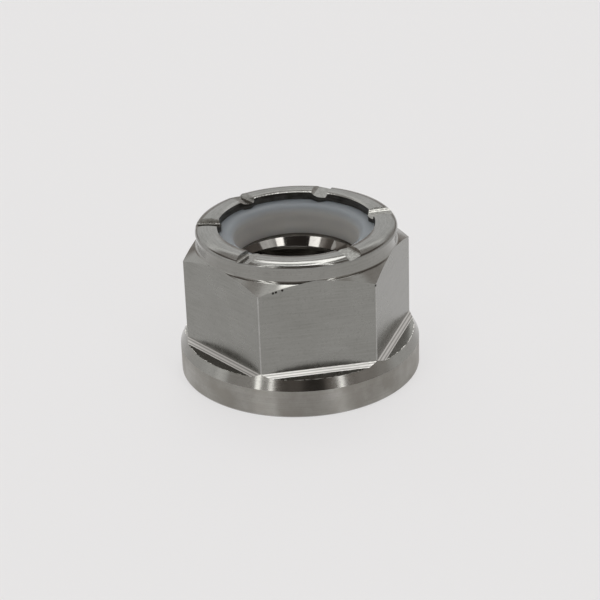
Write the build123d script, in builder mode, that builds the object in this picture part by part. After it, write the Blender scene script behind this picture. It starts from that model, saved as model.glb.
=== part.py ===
from build123d import *
from math import acos, degrees, radians, sin, tan
import os

os.makedirs("parts", exist_ok=True)

# Nylon insert lock nut with a plain seat flange: a turned and milled steel body,
# and a nylon ring held in its collar by a lip that is crimped over.
# Millimetres, +Z up along the thread axis, origin at the middle of the seat.

# Thread, cut later inside the plain bore
thread_major_d = 12.0
thread_minor_d = 10.2
countersink_over = 0.4

# Over the lip's crown
nut_height = 13.94

# Seat flange
flange_d = 21.9
flange_wall_h = 2.6
flange_cone_h = 1.2
seat_edge_break = 0.15

# Hexagon, milled from the turned blank down to a shelf on the flange
across_flats = 18.0
corner_land_d = 20.72
shelf_z = 3.5
foot_bevel_w = 0.55
foot_bevel_h = 0.27
corner_drop = 2.67
top_chamfer_angle = 32.5

# Collar round the nylon ring
collar_d = 17.94
collar_root_fillet = 0.3
collar_wall = 0.77
recess_depth = 3.59

# Lip crimped over the ring: it slopes to its mouth inside, and rolls over to a tight rim outside
lip_w = 1.97
lip_thickness = 0.65
crown_round_r = 1.88
crown_land_w = 0.2
crown_w = 1.02
lip_slope = 12
rim_round_r = 0.4
rim_swell = 0.1
rim_swell_h = 0.5

# Six press marks across the lip, as the crimping tool left them
mark_angles = (3, 61, 118, 165, 228.5, 293.5)
dent_w = 1.3
dent_depth = 0.28
dent_lean = 0.2
dent_steep_w = 0.13
dent_slope_w = 0.22
tab_reach = 0.38
tab_d = 1.5
tab_blend = 0.3
ridge_d = 4.84
ridge_tilt = 4.5
ridge_depth = 0.2

# Nylon ring
ring_bore_d = 11.24
ring_play = 0.04
ring_edge = 0.25
ring_mouth = 0.7

# Worked out from the sizes above
thread_minor_r = thread_minor_d / 2
countersink_r = (thread_major_d + countersink_over) / 2
countersink_h = countersink_r - thread_minor_r
flange_r = flange_d / 2
flange_h = flange_wall_h + flange_cone_h
flat_r = across_flats / 2
land_r = corner_land_d / 2
foot_z = shelf_z + foot_bevel_h
corner_top_z = nut_height - corner_drop
collar_r = collar_d / 2
recess_r = collar_r - collar_wall
recess_floor_z = nut_height - recess_depth
rim_r = collar_r + rim_swell
root_z = corner_top_z + (land_r - collar_r) * tan(radians(top_chamfer_angle))
crown_outer_r = rim_r - crown_w
crown_inner_r = crown_outer_r - crown_land_w
crown_z = nut_height - crown_round_r
rim_angle = degrees(acos((crown_w - rim_round_r) / (crown_round_r - rim_round_r)))
rim_z = crown_z + (crown_round_r - rim_round_r) * sin(radians(rim_angle))
neck_z = rim_z - rim_swell_h
root_fillet = min(collar_root_fillet, neck_z - root_z)
lip_inner_r = rim_r - lip_w
lip_edge_z = nut_height - (crown_inner_r - lip_inner_r) * tan(radians(lip_slope))
lip_under_z = lip_edge_z - lip_thickness
tab_tip_r = lip_inner_r - tab_reach
lip_raw_r = tab_tip_r - tab_blend
lip_raw_z = lip_edge_z - (lip_inner_r - lip_raw_r) * tan(radians(lip_slope))
dent_high_z = nut_height - dent_depth
dent_low_z = dent_high_z - dent_lean
ridge_r = ridge_d / 2
ridge_h = ridge_depth + lip_thickness / 2
tab_r = tab_d / 2
tab_centre_r = tab_tip_r + tab_r
ring_bore_r = ring_bore_d / 2
ring_outer_r = recess_r - ring_play
ring_mouth_z = lip_under_z - ring_mouth
clear = 1.0

# What the milling leaves: the shelf, the bevelled foot and the six flats
with BuildPart() as hexagon:
    with BuildSketch(Plane.XY):
        Circle(flange_r + clear)
    extrude(amount=shelf_z)
    with BuildSketch(Plane.XY.offset(shelf_z)):
        RegularPolygon(flat_r + foot_bevel_w, 6, major_radius=False)
    with BuildSketch(Plane.XY.offset(foot_z)):
        RegularPolygon(flat_r, 6, major_radius=False)
    loft()
    with BuildSketch(Plane.XY.offset(foot_z)):
        RegularPolygon(flat_r, 6, major_radius=False)
    extrude(amount=neck_z - foot_z)
    with BuildSketch(Plane.XY.offset(neck_z)):
        Circle(flange_r + clear)
    extrude(amount=nut_height - neck_z + clear)

# Nose of the crimping tool, which leans to one side and presses a flat across the lip
with BuildPart() as dent:
    with BuildSketch(Plane(origin=(0, 0, 0), x_dir=(0, 1, 0), z_dir=(1, 0, 0))):
        with BuildLine():
            Polyline(
                (-dent_w / 2, dent_low_z),
                (dent_w / 2, dent_high_z),
                (dent_w / 2 + dent_slope_w, nut_height),
                (dent_w / 2 + dent_slope_w, nut_height + clear),
                (-dent_w / 2 - dent_steep_w, nut_height + clear),
                (-dent_w / 2 - dent_steep_w, nut_height),
                close=True,
            )
        make_face()
    extrude(amount=rim_r + clear)

# Mouth of the lip, with a rounded tab at each press mark
with BuildPart() as mouth:
    with BuildSketch(Plane.XY.offset(lip_under_z - ridge_h)) as mouth_outline:
        Circle(lip_inner_r)
        for angle in mark_angles:
            with PolarLocations(tab_centre_r, 1, start_angle=angle):
                Circle(tab_r, mode=Mode.SUBTRACT)
        fillet(mouth_outline.vertices(), tab_blend)
    extrude(amount=nut_height - lip_under_z + clear)

# Ridge that each nose leaves under the lip, sunk in the nylon
ridge_origin = (lip_raw_r, 0, lip_under_z - ridge_depth)
ridge_dir = Vector(1, 0, 0).rotate(Axis.Y, -ridge_tilt)
with BuildPart() as ridge:
    with BuildSketch(Plane(origin=ridge_origin, x_dir=(0, 1, 0), z_dir=ridge_dir)):
        with Locations((0, ridge_r)):
            Circle(ridge_r)
        Rectangle(2 * ridge_r, ridge_h, align=(Align.CENTER, Align.MIN), mode=Mode.INTERSECT)
    extrude(amount=recess_r - tab_tip_r + tab_blend + ring_play)
with BuildPart() as ridges:
    for angle in mark_angles:
        add(ridge.part.rotate(Axis.Z, angle))
    add(mouth.part, mode=Mode.SUBTRACT)

with BuildPart() as nut_body:
    # Turned blank with its recess and the lip already turned in
    with BuildSketch(Plane.XZ) as blank:
        with BuildLine():
            Polyline(
                (thread_minor_r, countersink_h),
                (countersink_r, 0),
                (flange_r - seat_edge_break, 0),
                (flange_r, seat_edge_break),
                (flange_r, flange_wall_h),
                (land_r, flange_h),
                (land_r, corner_top_z),
                (collar_r, root_z),
                (collar_r, neck_z),
                (rim_r, rim_z),
            )
            CenterArc((rim_r - rim_round_r, rim_z), rim_round_r, 0, rim_angle)
            CenterArc((crown_outer_r, crown_z), crown_round_r, rim_angle, 90 - rim_angle)
            Polyline(
                (crown_outer_r, nut_height),
                (crown_inner_r, nut_height),
                (lip_raw_r, lip_raw_z),
                (lip_raw_r, lip_under_z),
                (recess_r, lip_under_z),
                (recess_r, recess_floor_z),
                (countersink_r, recess_floor_z),
                (thread_minor_r, recess_floor_z - countersink_h),
                (thread_minor_r, countersink_h),
            )
        make_face()
        fillet(blank.vertices().sort_by_distance((collar_r, root_z))[0], root_fillet)
    revolve(axis=Axis.Z)
    add(hexagon.part, mode=Mode.INTERSECT)
    # The mouth, the pressed metal under the lip, then the dents above it
    add(mouth.part, mode=Mode.SUBTRACT)
    add(ridges.part)
    for angle in mark_angles:
        add(dent.part.rotate(Axis.Z, angle), mode=Mode.SUBTRACT)
nut_body.part.label = "nut_body"
export_step(nut_body.part, "parts/nut_body.step")

with BuildPart() as nylon_ring:
    # Ring with a large round at its mouth, flat under the lip
    with BuildSketch(Plane.XZ):
        with BuildLine():
            Polyline(
                (ring_bore_r, ring_mouth_z),
                (ring_bore_r, recess_floor_z),
                (ring_outer_r - ring_edge, recess_floor_z),
                (ring_outer_r, recess_floor_z + ring_edge),
                (ring_outer_r, lip_under_z),
                (ring_bore_r + ring_mouth, lip_under_z),
            )
            CenterArc((ring_bore_r + ring_mouth, ring_mouth_z), ring_mouth, 90, 90)
        make_face()
    revolve(axis=Axis.Z)
    # Hollows where the pressed metal of the lip bears on it
    add(ridges.part, mode=Mode.SUBTRACT)
nylon_ring.part.label = "nylon_ring"
export_step(nylon_ring.part, "parts/nylon_ring.step")
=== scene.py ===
import bpy
from math import acos, atan2, cos, degrees, hypot, pi, radians, sin, tan
from mathutils import Matrix, Vector


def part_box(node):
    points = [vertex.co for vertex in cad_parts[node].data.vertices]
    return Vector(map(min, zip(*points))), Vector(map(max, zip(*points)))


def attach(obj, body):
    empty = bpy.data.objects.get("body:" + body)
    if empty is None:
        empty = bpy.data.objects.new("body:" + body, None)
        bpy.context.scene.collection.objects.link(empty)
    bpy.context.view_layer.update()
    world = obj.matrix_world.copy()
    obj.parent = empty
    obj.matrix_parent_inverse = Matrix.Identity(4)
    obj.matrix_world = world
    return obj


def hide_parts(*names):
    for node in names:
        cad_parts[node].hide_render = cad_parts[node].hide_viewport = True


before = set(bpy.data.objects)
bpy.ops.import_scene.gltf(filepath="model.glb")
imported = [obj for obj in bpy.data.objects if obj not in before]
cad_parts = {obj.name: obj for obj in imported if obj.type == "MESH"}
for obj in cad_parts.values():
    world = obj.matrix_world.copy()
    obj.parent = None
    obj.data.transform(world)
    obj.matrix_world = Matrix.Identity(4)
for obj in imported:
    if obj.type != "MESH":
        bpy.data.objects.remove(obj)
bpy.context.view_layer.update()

# The steel body: one piece of plated steel, turned with its seat flange and collar, milled
# to a hexagon down to a shelf on the flange, threaded, and crimped over the nylon by a tool
# with six noses. Sizes are in millimetres until a mesh is finished.

mm = 0.001
near = 0.01
body_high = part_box("nut_body")[1]
flange_r = body_high.x / mm
crown_z = body_high.z / mm
seat_edge = 0.15
flange_wall_z, land_r, flange_z = 2.6, 10.36, 3.8
flat_r = 9.0
shelf_z, foot_z = 3.5, 3.77
foot_bevel_w = 0.55
corner_top_z, root_z = 11.27, 12.155
root_fillet_r = 0.45
collar_r, neck_z = 8.97, 12.9
rim_r, rim_round_r = 9.07, 0.4
crown_round_r, crown_outer_r, crown_inner_r = 1.88, 8.05, 7.85
mouth_slope = 17
rim_lean = acos((rim_r - crown_outer_r - rim_round_r) / (crown_round_r - rim_round_r))
rim_z = crown_z - crown_round_r + (crown_round_r - rim_round_r) * sin(rim_lean)
lip_inner_r, lip_under_z = 7.1, 13.13
tab_reach, tab_half_w, tab_blend = 0.38, 1.0, 0.3
lip_raw_r, lip_raw_z = lip_inner_r - tab_reach - tab_blend, 13.5
inner_round_r = (crown_inner_r - lip_inner_r) / sin(radians(mouth_slope))
recess_r, recess_z = 8.2, 10.35
bore_r, thread_r, pitch = 5.1, 6.0, 1.75
countersink_r = 6.2
countersink_h = countersink_r - bore_r
mark_angles = (3, 61, 118, 165, 228.5, 293.5)
flat_angles = [30 + 60 * i for i in range(6)]


def arc(centre_r, centre_z, radius, start, end, steps):
    """Points of a round stretch of a profile, between two angles in degrees."""
    angles = [radians(start + (end - start) * i / steps) for i in range(steps + 1)]
    return [(centre_r + radius * cos(a), centre_z + radius * sin(a)) for a in angles]


def turned(name, profile, sides=288):
    """A closed profile of (radius, height) turned about Z, one ring after another."""
    bpy.ops.object.select_all(action="DESELECT")
    r, z = profile[0]
    bpy.ops.mesh.primitive_circle_add(vertices=sides, radius=r, location=(0, 0, z))
    piece = bpy.context.object
    piece.name = name
    bpy.ops.object.mode_set(mode="EDIT")
    for next_r, next_z in profile[1:] + profile[:1]:
        bpy.ops.mesh.extrude_region_move()
        bpy.ops.transform.resize(value=(next_r / r, next_r / r, 1), center_override=(0, 0, z))
        bpy.ops.transform.translate(value=(0, 0, next_z - z))
        r, z = next_r, next_z
    bpy.ops.mesh.select_all(action="SELECT")
    bpy.ops.mesh.remove_doubles(threshold=0.002)
    bpy.ops.mesh.normals_make_consistent(inside=False)
    bpy.ops.object.mode_set(mode="OBJECT")
    bpy.ops.object.transform_apply()
    bpy.ops.object.shade_smooth()
    return piece


def pick(piece, is_in):
    """Selects the corners of a shape whose places pass a test, and the edges between them."""
    mesh = piece.data
    for f in mesh.polygons:
        f.select = False
    for v in mesh.vertices:
        v.select = is_in(v.co)
    for e in mesh.edges:
        e.select = all(mesh.vertices[i].select for i in e.vertices)


def drag(piece, is_in, way, **settings):
    """Moves the corners of a shape whose places pass a test."""
    pick(piece, is_in)
    bpy.ops.object.mode_set(mode="EDIT")
    bpy.ops.transform.translate(value=way, **settings)
    bpy.ops.object.mode_set(mode="OBJECT")


def copy_of(piece):
    """A copy with a mesh of its own."""
    copy = piece.copy()
    copy.data = piece.data.copy()
    bpy.context.collection.objects.link(copy)
    return copy


def boolean(piece, other, operation):
    """Cuts or joins one shape with another and clears the second away."""
    bpy.context.view_layer.objects.active = piece
    modifier = piece.modifiers.new(operation.lower(), "BOOLEAN")
    modifier.operation = operation
    modifier.solver = "EXACT"
    modifier.object = other
    bpy.ops.object.modifier_apply(modifier=modifier.name)
    bpy.data.objects.remove(other)


def ring_of(piece, angles):
    """Copies of one shape set round Z at the angles given, joined as one object."""
    copies = [copy_of(piece) for angle in angles]
    bpy.ops.object.select_all(action="DESELECT")
    for copy, angle in zip(copies, angles):
        copy.rotation_euler.z = radians(angle)
        copy.select_set(True)
    bpy.context.view_layer.objects.active = copies[0]
    bpy.ops.object.transform_apply()
    bpy.ops.object.join()
    bpy.data.objects.remove(piece)
    return bpy.context.object


chamfer = atan2(root_z - corner_top_z, land_r - collar_r)
root_centre_z = root_z + root_fillet_r * (1 - sin(chamfer)) / cos(chamfer)
blank = (
    [(bore_r, countersink_h), (countersink_r, 0)]
    + [(flange_r - seat_edge, 0), (flange_r, seat_edge)]
    + [(flange_r, flange_wall_z), (land_r, flange_z), (land_r, corner_top_z)]
    + arc(collar_r + root_fillet_r, root_centre_z, root_fillet_r, 270 - degrees(chamfer), 180, 8)
    + [(collar_r, neck_z)]
    + arc(rim_r - rim_round_r, rim_z, rim_round_r, 0, degrees(rim_lean), 9)
    + arc(crown_outer_r, crown_z - crown_round_r, crown_round_r, degrees(rim_lean), 90, 6)[1:]
    + arc(crown_inner_r, crown_z - inner_round_r, inner_round_r, 90, 90 + mouth_slope, 5)
    + [(lip_raw_r, lip_raw_z), (lip_raw_r, lip_under_z)]
    + [(recess_r, lip_under_z), (recess_r, recess_z), (countersink_r, recess_z)]
    + [(bore_r, recess_z - countersink_h)]
)
steel_body = turned("steel_body", blank)

# One milling cut makes one flat, with the bevel at its lower edge
mill_w = 5.0
mill_middle = (flat_r + mill_w / 2, 0, (shelf_z + neck_z) / 2)
bpy.ops.object.select_all(action="DESELECT")
bpy.ops.mesh.primitive_cube_add(size=1, location=mill_middle)
mill = bpy.context.object
bpy.ops.transform.resize(value=(mill_w, 2 * flat_r, neck_z - shelf_z))
bpy.ops.object.transform_apply()
bpy.ops.object.mode_set(mode="EDIT")
bpy.ops.mesh.bisect(plane_co=(0, 0, foot_z), plane_no=(0, 0, 1))
bpy.ops.object.mode_set(mode="OBJECT")
drag(mill, lambda co: co.z < shelf_z + near and co.x < flat_r + near, (foot_bevel_w, 0, 0))
for angle in flat_angles:
    cut = copy_of(mill)
    cut.rotation_euler.z = radians(angle)
    boolean(steel_body, cut, "DIFFERENCE")
bpy.data.objects.remove(mill)

# The mouth of the lip: round, and drawn in to a smooth tab at each press mark
mouth_sides, mouth_h, mouth_middle_z = 720, 2, 13.6
bpy.ops.object.select_all(action="DESELECT")
bpy.ops.mesh.primitive_cylinder_add(
    vertices=mouth_sides, radius=lip_inner_r, depth=mouth_h, location=(0, 0, mouth_middle_z)
)
mouth = bpy.context.object
bpy.ops.object.transform_apply()
for angle in mark_angles:
    outward = Vector((cos(radians(angle)), sin(radians(angle)), 0))
    middle = lip_inner_r * outward
    drag(
        mouth,
        lambda co: hypot(co.x - middle.x, co.y - middle.y) < 2 * near,
        -tab_reach * outward,
        use_proportional_edit=True,
        proportional_edit_falloff="SMOOTH",
        proportional_size=tab_half_w,
    )

# The ridge that each nose of the tool leaves under the lip, cut back by the mouth
ridge_r, ridge_tilt, ridge_sink = 2.42, radians(4.5), 0.05
ridge_top_z, ridge_end_r = lip_under_z + 0.3, recess_r + 0.04
nose_reach = 4
bpy.ops.object.select_all(action="DESELECT")
bpy.ops.mesh.primitive_cylinder_add(
    vertices=120,
    radius=ridge_r,
    depth=nose_reach,
    location=(crown_outer_r, 0, lip_under_z - ridge_sink + ridge_r),
    rotation=(0, pi / 2 - ridge_tilt, 0),
)
ridge = bpy.context.object
bpy.ops.object.transform_apply()
bpy.ops.object.mode_set(mode="EDIT")
for point, outward in (((0, 0, ridge_top_z), (0, 0, 1)), ((ridge_end_r, 0, 0), (1, 0, 0))):
    bpy.ops.mesh.select_all(action="SELECT")
    bpy.ops.mesh.bisect(plane_co=point, plane_no=outward, clear_outer=True, use_fill=True)
bpy.ops.object.mode_set(mode="OBJECT")
ridges = ring_of(ridge, mark_angles)
boolean(ridges, copy_of(mouth), "DIFFERENCE")
ring_hollows = copy_of(ridges)

# The dent above it: a floor that leans to one side, a steep wall and a sloping one
dent_w, dent_low_z, dent_high_z, dent_round = 1.3, 13.46, 13.66, 0.14
steep_run, slope_run, over_crown = 0.16, 0.3, 0.1
floor_below_z = dent_high_z + 0.05
dent_middle = (crown_outer_r, 0, (dent_high_z + crown_z) / 2)
bpy.ops.object.select_all(action="DESELECT")
bpy.ops.mesh.primitive_cube_add(size=1, location=dent_middle)
nose = bpy.context.object
bpy.ops.transform.resize(value=(nose_reach, dent_w, crown_z - dent_high_z))
bpy.ops.object.transform_apply()
for edge_side, is_top, way in (
    (-1, False, (0, 0, dent_low_z - dent_high_z)),
    (-1, True, (0, -steep_run, over_crown)),
    (1, True, (0, slope_run, over_crown)),
):
    drag(nose, lambda co: co.y * edge_side > 0 and (co.z > floor_below_z) == is_top, way)
pick(nose, lambda co: co.z < floor_below_z)
bpy.ops.object.mode_set(mode="EDIT")
bpy.ops.mesh.bevel(offset=dent_round, segments=4)
bpy.ops.object.mode_set(mode="OBJECT")

boolean(steel_body, mouth, "DIFFERENCE")
boolean(steel_body, ridges, "UNION")
boolean(steel_body, ring_of(nose, mark_angles), "DIFFERENCE")

# Small nicks in the front flat and at two corners, just under the chamfer
nick_r, nick_drop = 0.11, 1.3
flat_nicks, corner_nicks = (-113.1, -111.7, -108.6), (-60, 0)
nicks = [Vector((-flat_r / tan(radians(a)), -flat_r, 0)) for a in flat_nicks]
nicks += [Vector((land_r * cos(radians(a)), land_r * sin(radians(a)), 0)) for a in corner_nicks]
chamfer_rise = (root_z - corner_top_z) / (land_r - collar_r)
for nick in nicks:
    under_land = land_r - hypot(nick.x, nick.y)
    nick.z = corner_top_z + under_land * chamfer_rise - nick_drop * nick_r
    bpy.ops.object.select_all(action="DESELECT")
    bpy.ops.mesh.primitive_ico_sphere_add(subdivisions=2, radius=nick_r, location=nick)
    bpy.ops.object.transform_apply()
    boolean(steel_body, bpy.context.object, "DIFFERENCE")

# The thread: a groove wound up the bore, from under the seat into the recess
root_w, mouth_w, inside_r, start_z = pitch / 8, 1.677, 4.8, -2.2
groove_middle = ((inside_r + thread_r) / 2, 0, start_z)
bpy.ops.object.select_all(action="DESELECT")
bpy.ops.mesh.primitive_plane_add(size=1, location=groove_middle, rotation=(pi / 2, 0, 0))
tap = bpy.context.object
bpy.ops.transform.resize(value=(thread_r - inside_r, 1, mouth_w))
bpy.ops.object.transform_apply()
pick(tap, lambda co: co.x > thread_r - near)
bpy.ops.object.mode_set(mode="EDIT")
bpy.ops.transform.resize(value=(1, 1, root_w / mouth_w))
bpy.ops.mesh.select_all(action="SELECT")
bpy.ops.mesh.delete(type="ONLY_FACE")
bpy.ops.object.mode_set(mode="OBJECT")
winding = tap.modifiers.new("winding", "SCREW")
winding.axis = "Z"
winding.screw_offset = pitch
winding.iterations = 8
winding.steps = winding.render_steps = 96
bpy.ops.object.modifier_apply(modifier=winding.name)
bpy.ops.object.mode_set(mode="EDIT")
bpy.ops.mesh.select_all(action="SELECT")
bpy.ops.mesh.fill_holes(sides=4)
bpy.ops.mesh.select_all(action="SELECT")
bpy.ops.mesh.normals_make_consistent(inside=False)
bpy.ops.object.mode_set(mode="OBJECT")
bpy.ops.object.shade_smooth()
boolean(steel_body, tap, "DIFFERENCE")


def finished(piece, sharp_angle):
    """Brings a piece to real size, with edges above an angle in degrees left sharp."""
    bpy.ops.object.select_all(action="DESELECT")
    piece.select_set(True)
    bpy.context.view_layer.objects.active = piece
    piece.scale = (mm, mm, mm)
    bpy.ops.object.transform_apply()
    flat_faces = [face.index for face in piece.data.polygons if not face.use_smooth]
    bpy.ops.object.shade_smooth_by_angle(angle=radians(sharp_angle))
    for index in flat_faces:
        piece.data.polygons[index].use_smooth = False


def surface_of(face):
    """The name of the steel that a face of the body wears, by its place and its normal."""
    x, y, z = face.center
    r = hypot(x, y)
    n = face.normal
    azimuth = atan2(n.y, n.x)
    off_flat = min(abs((azimuth - radians(a) + pi) % (2 * pi) - pi) for a in flat_angles)
    is_upright = abs(n.z) < 0.02
    in_bore = r < countersink_r + 0.05 and z < recess_z + near
    in_mouth = r < lip_inner_r + 0.05 and z > lip_under_z - 0.3 and abs(n.z) < 0.3
    in_nick = any((face.center - nick).length < nick_r + near / 2 for nick in nicks)
    on_flat = is_upright and foot_z < z < neck_z and off_flat < 0.002
    on_corner = is_upright and foot_z < z < corner_top_z and r > land_r - 0.1
    on_foot = shelf_z - near < z < foot_z + near and n.z > 0.5
    if in_bore:
        return "tapped"
    # The mouth and the nicks wear the nearly black steel, which is painted shade
    if in_mouth:
        return "shaded_cut"
    if z > lip_under_z + 0.1:
        return "pressed" if face.use_smooth else "struck"
    if in_nick:
        return "shaded_cut"
    if r > flange_r - near:
        return "lit_first_cut"
    if on_flat:
        return "milled"
    if on_corner:
        return "corner"
    if on_foot:
        return "milled" if n.z > 0.99 else "highlit_score"
    return "turned"


surfaces = [surface_of(face) for face in steel_body.data.polygons]


def new_material(name):
    """A node material with its Principled shader, and the node tree to add to."""
    material = bpy.data.materials.new(name)
    material.use_nodes = True
    tree = material.node_tree
    return material, tree, tree.nodes["Principled BSDF"]


def socket(tree, name, value=None):
    """A named number of a node group: one that goes in where it has a value, else one out."""
    way = "OUTPUT" if value is None else "INPUT"
    made = tree.interface.new_socket(name=name, in_out=way, socket_type="NodeSocketFloat")
    if value is not None:
        made.default_value = value


def node(tree, kind, links=(), values=(), **settings):
    """A node with its settings, the links that feed it, and its plain values."""
    made = tree.nodes.new("ShaderNode" + kind)
    for name, value in settings.items():
        setattr(made, name, value)
    for name, value in values:
        made.inputs[name].default_value = value
    for name, output in links:
        tree.links.new(output, made.inputs[name])
    return made


def worked(tree, operation, *terms):
    """The result of a Math node on numbers and other nodes' outputs."""
    made = node(tree, "Math", operation=operation)
    for index, term in enumerate(terms):
        if isinstance(term, (int, float)):
            made.inputs[index].default_value = term
        else:
            tree.links.new(term, made.inputs[index])
    return made.outputs[0]


def spread(tree, value, low, high, start=0.3, end=0.7, way="LINEAR"):
    """A value between two limits, stretched to run from one number to another."""
    limits = [("From Min", start), ("From Max", end), ("To Min", low), ("To Max", high)]
    return node(tree, "MapRange", [("Value", value)], limits, interpolation_type=way).outputs[0]


def mixed(tree, share, first, second):
    """A colour between two, by a share that comes from another node."""
    mix = node(tree, "Mix", [("Factor", share)], data_type="RGBA")
    first_colour_input = 6
    for index, colour in enumerate((first, second), first_colour_input):
        if isinstance(colour, tuple):
            mix.inputs[index].default_value = colour
        else:
            tree.links.new(colour, mix.inputs[index])
    return mix.outputs[2]


def noise(tree, place, scale, detail, roughness=0.5):
    """Soft random blotches on a piece, their size given as how many there are to a metre."""
    values = [("Scale", scale), ("Detail", detail), ("Roughness", roughness)]
    return node(tree, "TexNoise", [("Vector", place)], values).outputs["Fac"]


def place_on(tree):
    """Where a point of the piece is."""
    return node(tree, "TexCoord").outputs["Object"]


def height_of(tree, place):
    """How high a place is above the seat."""
    return node(tree, "SeparateXYZ", [(0, place)]).outputs[2]


def level_of(tree, place):
    """A place without its height, as a way out from the thread's axis."""
    parts = node(tree, "SeparateXYZ", [(0, place)]).outputs
    return node(tree, "CombineXYZ", [(0, parts[0]), (1, parts[1])]).outputs[0]


def length_of(tree, way):
    """How long a way is."""
    return node(tree, "VectorMath", [(0, way)], operation="LENGTH").outputs["Value"]


# Tool marks: streaks that run round a turned piece or along a milled one, blotches and specks
tool_marks = bpy.data.node_groups.new("tool_marks", "ShaderNodeTree")
for name, value in (("Across", 9000.0), ("Along", 500.0), ("Round", 1.0)):
    socket(tool_marks, name, value)
for name in ("Streak", "Patch", "Speck"):
    socket(tool_marks, name)
entry = tool_marks.nodes.new("NodeGroupInput").outputs
leave = tool_marks.nodes.new("NodeGroupOutput").inputs
place = place_on(tool_marks)
level = level_of(tool_marks, place)
outward = worked(tool_marks, "MULTIPLY", length_of(tool_marks, level), entry["Round"])
over_marks = worked(tool_marks, "SUBTRACT", outward, height_of(tool_marks, place))
across = worked(tool_marks, "MULTIPLY", over_marks, entry["Across"])
along = node(tool_marks, "VectorMath", [(0, level), (3, entry["Along"])], operation="SCALE")
streak = node(
    tool_marks,
    "TexNoise",
    [("Vector", along.outputs[0]), ("W", across)],
    [("Scale", 1.0), ("Detail", 3.0), ("Roughness", 0.6)],
    noise_dimensions="4D",
).outputs["Fac"]
patch = noise(tool_marks, place, 260.0, 4.0, 0.65)
grain = noise(tool_marks, place, 5200.0, 2.0, 0.7)
tool_marks.links.new(streak, leave["Streak"])
tool_marks.links.new(patch, leave["Patch"])
tool_marks.links.new(spread(tool_marks, grain, 0, 1, 0.57, 0.7), leave["Speck"])


def steel(name, dark, light, roughness, across, along, relief, is_round=1):
    """Bare steel with its tool marks: two tones, a spread of roughness and a fine relief.

    The marks are counted to a metre, across them and along them, and the relief is their depth
    in millimetres. They run round the axis where is_round is 1, and level where it is 0.
    """
    material, tree, shader = new_material(name)
    marks = tree.nodes.new("ShaderNodeGroup")
    marks.node_tree = tool_marks
    for socket_name, value in (("Across", across), ("Along", along), ("Round", is_round)):
        marks.inputs[socket_name].default_value = value
    streak, patch, speck = [marks.outputs[key] for key in ("Streak", "Patch", "Speck")]
    both = worked(tree, "ADD", streak, patch)
    tone = mixed(tree, spread(tree, both, 0, 1, 0.7, 1.3), dark, light)
    pit = tuple(0.6 * part for part in dark[:3]) + (1,)
    tone = mixed(tree, spread(tree, speck, 0, 0.3, 0, 1), tone, pit)
    tree.links.new(tone, shader.inputs["Base Color"])
    smoothest, roughest = roughness
    tree.links.new(spread(tree, patch, smoothest, roughest), shader.inputs["Roughness"])
    depth = [("Strength", 1.0), ("Distance", relief * mm)]
    bump = node(tree, "Bump", [("Height", streak)], depth)
    tree.links.new(bump.outputs[0], shader.inputs["Normal"])
    shader.inputs["Metallic"].default_value = 1
    return material, tree, shader, tone


steels = {}
steels["turned"] = steel(
    "turned_steel",
    dark=(0.252, 0.248, 0.23, 1),
    light=(0.315, 0.31, 0.292, 1),
    roughness=(0.10, 0.17),
    across=14000,
    along=120,
    relief=0.0002,
)[0]

steels["milled"], tree, shader, tone = steel(
    "milled_steel",
    dark=(0.255, 0.253, 0.235, 1),
    light=(0.318, 0.316, 0.298, 1),
    roughness=(0.2, 0.3),
    across=9000,
    along=350,
    relief=0.0008,
    is_round=0,
)
# Tiny burrs, which the milling left along the shelf's outer edge, painted near white in specks:
# a painted highlight for the glints of light they catch
glint_band_w, glint_fade = 0.09, 0.04
cone_run = (flange_r - land_r) / (flange_z - flange_wall_z)
edge_r = flange_r - cone_run * (shelf_z - flange_wall_z)
glint_band_r = edge_r - glint_band_w
place = place_on(tree)
off_axis = length_of(tree, level_of(tree, place))
at_edge = spread(tree, off_axis, 0, 1, glint_band_r * mm, (glint_band_r + glint_fade) * mm)
glint_specks = spread(tree, noise(tree, place, 2600, 3), 0, 1, 0.44, 0.56)
burr_glint = worked(tree, "MULTIPLY", at_edge, glint_specks)
# Near-white specks: painted glints on the burrs
tree.links.new(mixed(tree, burr_glint, tone, (0.95, 0.94, 0.9, 1)), shader.inputs["Base Color"])
dullness = shader.inputs["Roughness"].links[0].from_socket
rougher = node(tree, "Mix", [("Factor", burr_glint), (2, dullness)], [(3, 0.6)], data_type="FLOAT")
tree.links.new(rougher.outputs[0], shader.inputs["Roughness"])

steels["tapped"] = steel(
    "tapped_steel",
    dark=(0.22, 0.21, 0.195, 1),
    light=(0.34, 0.33, 0.31, 1),
    roughness=(0.05, 0.1),
    across=12000,
    along=400,
    relief=0.0008,
)[0]

# The scored foot: lines that the milling cutter's corner left on the bevel, in colours about
# twice as light as the flats' steel, a painted highlight for the light from above that the bevel
# catches
steels["highlit_score"], tree, shader, tone = steel(
    "highlit_score_steel",
    dark=(0.32, 0.31, 0.29, 1),
    light=(0.6, 0.59, 0.57, 1),
    roughness=(0.28, 0.4),
    across=9000,
    along=900,
    relief=0.002,
    is_round=0,
)
score_pitch = 0.125
height = height_of(tree, place_on(tree))
wave = worked(tree, "COSINE", worked(tree, "MULTIPLY", height, 2 * pi / (score_pitch * mm)))
score = spread(tree, wave, 0, 1, -0.9, 0.1)
# Both tones of the score lines are lightened as well: painted highlight over the tool marks
highlit_score_tone = mixed(tree, score, (0.33, 0.325, 0.31, 1), (0.66, 0.65, 0.63, 1))
tree.links.new(highlit_score_tone, shader.inputs["Base Color"])

# The lip's mouth and the nicks: steel made nearly black, a painted shade for the dark inside the
# mouth and in the nicks
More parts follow.
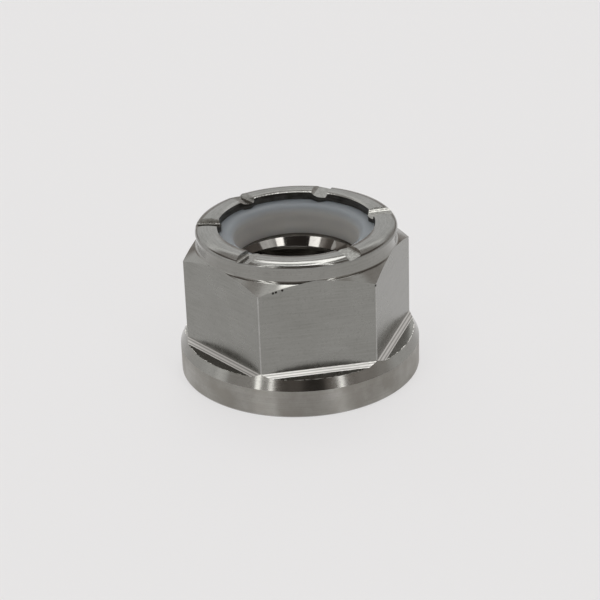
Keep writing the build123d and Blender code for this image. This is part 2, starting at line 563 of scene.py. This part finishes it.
steels["shaded_cut"] = steel(
    "shaded_cut_steel",
    dark=(0.05, 0.046, 0.04, 1),
    light=(0.17, 0.164, 0.152, 1),
    roughness=(0.25, 0.4),
    across=5000,
    along=900,
    relief=0.005,
    is_round=0,
)[0]
# The corner lands: steel lighter than the flats', a painted highlight for the thin light line
# along each hex corner
steels["corner"] = steel(
    "corner_highlight_steel",
    dark=(0.34, 0.335, 0.32, 1),
    light=(0.5, 0.495, 0.48, 1),
    roughness=(0.25, 0.35),
    across=5000,
    along=500,
    relief=0.001,
    is_round=0,
)[0]
steels["pressed"] = steel(
    "pressed_steel",
    dark=(0.22, 0.218, 0.204, 1),
    light=(0.31, 0.307, 0.292, 1),
    roughness=(0.11, 0.19),
    across=6000,
    along=900,
    relief=0.0015,
)[0]
steels["struck"] = steel(
    "struck_steel",
    dark=(0.2, 0.196, 0.18, 1),
    light=(0.4, 0.396, 0.375, 1),
    roughness=(0.1, 0.2),
    across=3200,
    along=3200,
    relief=0.012,
    is_round=0,
)[0]

# The flange's outer wall is as the first cut left it: stained, and with a shine that the turning
# marks draw out up and down.
# Its steel is lighter than the turned steel elsewhere: painted light for the brightness the wall
# takes from the floor
steels["lit_first_cut"], tree, shader, tone = steel(
    "lit_rim_steel",
    dark=(0.355, 0.345, 0.32, 1),
    light=(0.49, 0.478, 0.452, 1),
    roughness=(0.36, 0.41),
    across=14000,
    along=120,
    relief=0.0002,
)
stain = spread(tree, noise(tree, place_on(tree), 420, 5), 0.8, 0, 0.4, 0.62)
tree.links.new(mixed(tree, stain, tone, (0.315, 0.3, 0.27, 1)), shader.inputs["Base Color"])
shader.inputs["Anisotropic"].default_value = 1
shader.inputs["Anisotropic Rotation"].default_value = 0.25

for material in steels.values():
    steel_body.data.materials.append(material)
steel_names = list(steels)
for face, surface in zip(steel_body.data.polygons, surfaces):
    face.material_index = steel_names.index(surface)
finished(steel_body, 14)
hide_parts("nut_body")
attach(steel_body, "root")

# The nylon ring: moulded nylon, pressed into the collar's recess before the lip is rolled
# over it. Its top is dished, with a bead squeezed up along the lip, and the six pressed
# ridges sink into it. The bolt cuts its own thread in the ring's bore.

nylon_r, nylon_outer_r, nylon_edge = 5.62, 8.16, 0.25
mouth_round, dish = 0.7, 0.04
bead_h, bead_r, bead_foot_r = 0.03, lip_inner_r - 0.08, lip_inner_r - 0.2
nylon_mouth_z = lip_under_z - dish - mouth_round
section = (
    [(nylon_r, recess_z), (nylon_outer_r - nylon_edge, recess_z)]
    + [(nylon_outer_r, recess_z + nylon_edge), (nylon_outer_r, lip_under_z)]
    + [(lip_inner_r, lip_under_z), (bead_r, lip_under_z + bead_h)]
    + [(bead_foot_r, lip_under_z - dish / 2)]
    + arc(nylon_r + mouth_round, nylon_mouth_z, mouth_round, 90, 180, 14)
)
insert_ring = turned("insert_ring", section)
boolean(insert_ring, ring_hollows, "DIFFERENCE")

# It is bluish at the top and warmer down in the bore. Its tones are painted light: the top is
# much darker than the bore, and the bore is lighter low down, to even out how the light falls on
# the ring
nylon, tree, shader = new_material("nylon")
height = height_of(tree, place_on(tree))
in_bore = spread(tree, height, 0, 1, 10.9 * mm, 12.1 * mm, "SMOOTHSTEP")
bore_painted_light = mixed(tree, in_bore, (0.64, 0.63, 0.60, 1), (0.5, 0.5, 0.488, 1))
at_top = spread(tree, height, 0, 1, 12.2 * mm, 13.0 * mm, "SMOOTHSTEP")
nylon_painted_tone = mixed(tree, at_top, bore_painted_light, (0.222, 0.242, 0.258, 1))
tree.links.new(nylon_painted_tone, shader.inputs["Base Color"])
shader.inputs["Roughness"].default_value = 0.5
shader.inputs["Specular IOR Level"].default_value = 0.25
shader.inputs["Subsurface Weight"].default_value = 1
shader.inputs["Subsurface Radius"].default_value = (1, 0.95, 0.9)
shader.inputs["Subsurface Scale"].default_value = 3 * mm
insert_ring.data.materials.append(nylon)
finished(insert_ring, 30)
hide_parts("nylon_ring")
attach(insert_ring, "root")

# The floor, the light and the camera: a pale floor under a soft light tent, which is bright
# above and behind the nut and dark on the camera's side, where the tent is open.

bpy.ops.object.select_all(action="DESELECT")
bpy.ops.mesh.primitive_plane_add(size=6)
floor = bpy.context.object
floor.name = "floor"
pale_floor, tree, shader = new_material("pale_floor")
shader.inputs["Base Color"].default_value = (0.79, 0.785, 0.785, 1)
shader.inputs["Roughness"].default_value = 0.9
shader.inputs["Specular IOR Level"].default_value = 0.1
glow_share = 0.75
glow = node(tree, "Emission", values=[("Color", (0.828, 0.819, 0.819, 1))])
rays = node(tree, "LightPath").outputs
seen = worked(tree, "MAXIMUM", rays["Is Camera Ray"], rays["Is Glossy Ray"])
share = worked(tree, "MULTIPLY", seen, glow_share)
mix = node(tree, "MixShader", [(0, share), (1, shader.outputs[0]), (2, glow.outputs[0])])
tree.links.new(mix.outputs[0], tree.nodes["Material Output"].inputs["Surface"])
floor.data.materials.append(pale_floor)

camera_azimuth = radians(-10.26)
camera_elevation = radians(25.81)
camera_distance = 171.94 * mm
camera_roll = radians(-2.02)

world = bpy.data.worlds.new("light_tent")
bpy.context.scene.world = world
world.use_nodes = True
tree = world.node_tree
background = tree.nodes["Background"]


def calc(operation, *terms):
    """A Math node in the tent's tree."""
    return worked(tree, operation, *terms)


def times(first, second):
    """The product of two lights or masks of the tent."""
    return calc("MULTIPLY", first, second)


def ramp(value, start, end, low, high):
    """A smooth step of a value, from low at start to high at end."""
    return spread(tree, value, low, high, start, end, "SMOOTHSTEP")


def between(value, low, high, blur):
    """1 where a value lies between two limits, with soft edges."""
    return times(ramp(value, low - blur, low, 0, 1), ramp(value, high, high + blur, 1, 0))


# A direction in the tent: to the side, back and up as the camera sees the nut, its height
# in degrees, and its angle round the nut, which is 0 at the back and grows to the right
direction = node(tree, "TexCoord").outputs["Generated"]
turn = node(
    tree,
    "VectorRotate",
    [("Vector", direction)],
    [("Angle", -camera_azimuth)],
    rotation_type="Z_AXIS",
).outputs[0]
side, back, up = node(tree, "SeparateXYZ", [(0, turn)]).outputs
height = times(calc("ARCSINE", up), 180 / pi)
round_angle = times(calc("ARCTAN2", side, back), 180 / pi)
off_back = calc("ABSOLUTE", round_angle)
off_front = calc("WRAP", calc("SUBTRACT", round_angle, 180), 180, -180)


def panel(low_side, high_side, low_back, high_back, strength):
    """A soft light overhead, by the limits of its direction to the side and to the back."""
    across = between(side, low_side, high_side, 0.04)
    along = between(back, low_back, high_back, 0.04)
    return times(times(across, along), ramp(up, 0.5, 0.55, 0, strength))


def strip(azimuth, half_w, low, high, strength):
    """An upright strip light in the tent's wall, by its angle round the nut and its height."""
    off = calc("ABSOLUTE", calc("WRAP", calc("SUBTRACT", round_angle, azimuth), 180, -180))
    return times(ramp(off, half_w, half_w + 1.5, strength, 0), between(height, low, high, 3))


# The low wall: bright round the back, dimmer to the right and nearly dark at the front
right_dim = calc("ADD", ramp(round_angle, 20, 30, 0, -0.35), ramp(round_angle, 95, 106, 0, 0.22))
right_dim = calc("ADD", right_dim, ramp(round_angle, 122, 130, 0, -0.12))
low_wall = calc("ADD", ramp(off_back, 98, 108, 0.82, 0.6), ramp(off_back, 60, 110, 0.1, 0))
low_wall = calc("ADD", low_wall, right_dim)
low_wall = calc("ADD", low_wall, times(between(round_angle, -105, -97, 4), 0.35))
low_wall = times(low_wall, ramp(calc("ABSOLUTE", off_front), 18, 32, 0.25, 1))
low_wall = calc("SUBTRACT", low_wall, times(between(off_front, -20, -5, 3), 0.05))
low_wall = calc("MAXIMUM", low_wall, 0.05)
high_wall = ramp(off_back, 110, 125, 0.55, 0.05)

# Darker stretches at both sides, and the low wall's upper and lower edges
side_gap = times(between(off_back, 62, 112, 8), between(height, 25, 50, 8))
low_wall = times(low_wall, ramp(side_gap, 0, 1, 1, 0.3))
high_wall = times(high_wall, ramp(side_gap, 0, 1, 1, 0.3))
at_back = ramp(off_back, 40, 55, 1, 0)
low_wall_top = times(ramp(height, 37, 44, 1, 0), at_back)
low_wall_top = calc("MAXIMUM", low_wall_top, ramp(height, 30, 37, 1, 0))
low_wall_foot = times(ramp(height, 5, 12, 0, 1), ramp(off_back, 35, 50, 0, 1))
low_wall_foot = calc("MAXIMUM", low_wall_foot, ramp(height, 7, 17, 0, 1))

# A glow along the horizon, a fill from the camera's side, and the panels overhead, the first
# of which has a shade across it: it draws the dark line under the crown's bright one
horizon = times(ramp(height, 6, 12, 0.79, 0), ramp(off_back, 35, 60, 0.6, 1.05))
front_fill = ramp(calc("ABSOLUTE", off_front), 40, 60, 0.2, 0)
shade = times(between(side, -0.14, 0.1, 0.04), between(back, 0.02, 0.41, 0.04))
lights = [
    horizon,
    times(low_wall, times(low_wall_foot, low_wall_top)),
    times(high_wall, ramp(height, 30, 38, 0, 1)),
    times(front_fill, between(height, 28, 42, 3)),
    times(panel(-0.15, 0.22, -0.19, 0.6, 3.2), ramp(shade, 0, 1, 1, 0.12)),
    panel(-0.3, -0.19, -0.1, 0.45, 0.6),
    panel(0.08, 0.24, -0.21, -0.06, 2.0),
]
# Narrow strips beside the camera, which shine in the flange's cone: each is so many degrees
# from the front, which is at 180
lights += [
    strip(-180 + 41.5, 1.7, 16, 48, 2.8),
    strip(-180 + 29, 0.9, 18, 50, 3.2),
    strip(180 - 38, 1.2, 16, 48, 3.8),
]
# Broader ones higher up, which shine in the countersink under the nylon
lights += [
    strip(180 - 47, 8.5, 54, 70, 3.4),
    strip(-180 + 51, 12, 54, 70, 2.8),
    strip(99, 7, 46, 56, 0.9),
    strip(115, 8, 52, 62, 0.6),
    strip(-84, 4, 47, 56, 0.8),
    strip(68, 10, 45, 60, 0.3),
    strip(-68, 10, 45, 60, 0.3),
]
total = lights[0]
for light in lights[1:]:
    total = calc("ADD", total, light)
# The light is a little warmer where it is dim
tint = mixed(tree, ramp(total, 0.05, 0.9, 0, 1), (1, 0.88, 0.8, 1), (1, 1, 1, 1))
tree.links.new(tint, background.inputs["Color"])
tree.links.new(total, background.inputs["Strength"])

# The camera, at the photograph's angle; it turns about a point halfway up the nut
lens, film_w, nearest = 113.17, 36, 0.01
middle_z = 6.564
bpy.ops.object.camera_add()
camera = bpy.context.object
camera.name = "camera"
camera.data.lens = lens
camera.data.sensor_width = film_w
camera.data.clip_start = nearest
turn_to_camera = Matrix.Rotation(camera_azimuth, 3, "Z")
to_camera = turn_to_camera @ Vector((0, -cos(camera_elevation), sin(camera_elevation)))
aim = turn_to_camera @ Vector((0.12, -0.165, 6.223)) * mm
stand = Vector((0, 0, middle_z * mm)) + to_camera * camera_distance
camera.location = stand
view = (aim - stand).to_track_quat("-Z", "Y").to_matrix()
camera.rotation_euler = (view @ Matrix.Rotation(camera_roll, 3, "Z")).to_euler()
bpy.context.scene.camera = camera
bpy.context.scene.view_settings.view_transform = "Standard"
